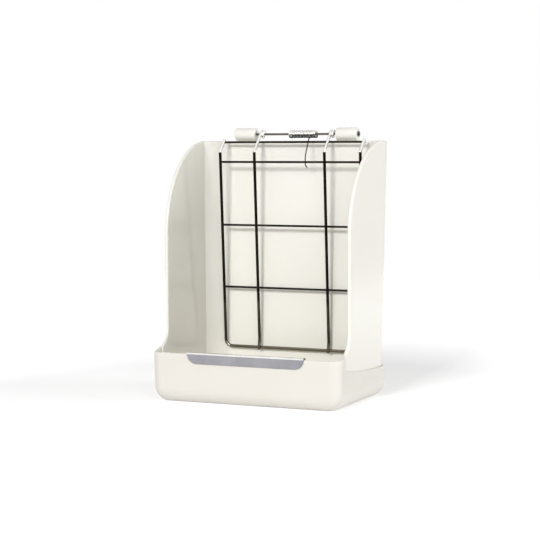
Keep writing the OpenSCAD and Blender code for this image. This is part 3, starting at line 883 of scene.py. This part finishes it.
WHITE = (1, 1, 1, 1)
WORLD_LEVEL = 0.22
AIM = Vector((0, 0, 0.12))
KEY_FROM = Vector((-0.08, -3.2, 1.54))
KEY_SIZE = (0.9, 0.7)
KEY_POWER = 78
FILL_FROM = Vector((1.8, 0.3, 0.5))
FILL_SIZE = (1.0, 0.8)
FILL_POWER = 14.6
FRONT_FILL_FROM = Vector((1.3, -1.5, 0.9))
FRONT_FILL_SIZE = (0.9, 0.9)
FRONT_FILL_POWER = 6.5

FLOOR_RADIUS = 1.3
FLOOR_GREY = 0.94
FLOOR_ROUGHNESS = 0.9
# The floor's lift to white grows with the distance from the middle, in metres
FLOOR_GLOW_NEAR = 0.42
FLOOR_GLOW_FAR = 1.0
FLOOR_GLOW_REACH = (0.25, 0.7)


def seen_by_camera_or_gloss(tree):
    """1 where a camera, glossy or transmission ray looks, 0 for light that falls on the object."""
    path = tree.nodes.new("ShaderNodeLightPath")
    total = path.outputs["Is Camera Ray"]
    for name in ("Is Glossy Ray", "Is Transmission Ray"):
        larger = math_node(tree, "MAXIMUM")
        tree.links.new(total, larger.inputs[0])
        tree.links.new(path.outputs[name], larger.inputs[1])
        total = larger.outputs["Value"]
    return total


def floor_material():
    """Pale floor, lifted to white to look at, and the more so away from the object's shadow."""
    material, tree, shader = new_material("floor_white")
    shader.inputs["Base Color"].default_value = grey(FLOOR_GREY)
    shader.inputs["Roughness"].default_value = FLOOR_ROUGHNESS
    shader.inputs["Specular IOR Level"].default_value = 0.0
    shader.inputs["Emission Color"].default_value = WHITE
    place = tree.nodes.new("ShaderNodeTexCoord")
    distance = tree.nodes.new("ShaderNodeVectorMath")
    distance.operation = "LENGTH"
    tree.links.new(place.outputs["Object"], distance.inputs[0])
    level = tree.nodes.new("ShaderNodeMapRange")
    level.inputs["From Min"].default_value = FLOOR_GLOW_REACH[0]
    level.inputs["From Max"].default_value = FLOOR_GLOW_REACH[1]
    level.inputs["To Min"].default_value = FLOOR_GLOW_NEAR
    level.inputs["To Max"].default_value = FLOOR_GLOW_FAR
    tree.links.new(distance.outputs["Value"], level.inputs["Value"])
    glow = math_node(tree, "MULTIPLY")
    tree.links.new(seen_by_camera_or_gloss(tree), glow.inputs[0])
    tree.links.new(level.outputs["Result"], glow.inputs[1])
    tree.links.new(glow.outputs["Value"], shader.inputs["Emission Strength"])
    return material


def place_floor():
    rim = [(FLOOR_RADIUS * math.cos(a), FLOOR_RADIUS * math.sin(a), 0)
           for a in angles(*range(0, 360, 5))]
    mesh = bpy.data.meshes.new("floor")
    mesh.from_pydata(rim, [], [tuple(range(len(rim)))])
    floor = bpy.data.objects.new("floor", mesh)
    bpy.context.scene.collection.objects.link(floor)
    paint(floor, floor_material())


def place_lamp(name, at, size, power):
    data = bpy.data.lights.new(name, "AREA")
    data.shape = "RECTANGLE"
    data.size, data.size_y = size
    data.energy = power
    lamp = bpy.data.objects.new(name, data)
    lamp.location = at
    lamp.rotation_euler = (AIM - at).to_track_quat("-Z", "Y").to_euler()
    bpy.context.scene.collection.objects.link(lamp)


def place_world():
    """White all round, less bright as light than to look at."""
    world = bpy.data.worlds.new("world")
    bpy.context.scene.world = world
    world.use_nodes = True
    tree = world.node_tree
    background = tree.nodes["Background"]
    background.inputs["Color"].default_value = WHITE
    level = tree.nodes.new("ShaderNodeMapRange")
    level.inputs["To Min"].default_value = WORLD_LEVEL
    level.inputs["To Max"].default_value = 1.0
    tree.links.new(seen_by_camera_or_gloss(tree), level.inputs["Value"])
    tree.links.new(level.outputs["Result"], background.inputs["Strength"])


place_camera()
place_floor()
place_world()
place_lamp("key", KEY_FROM, KEY_SIZE, KEY_POWER)
place_lamp("side_fill", FILL_FROM, FILL_SIZE, FILL_POWER)
place_lamp("front_fill", FRONT_FILL_FROM, FRONT_FILL_SIZE, FRONT_FILL_POWER)
bpy.context.scene.view_settings.view_transform = "Standard"
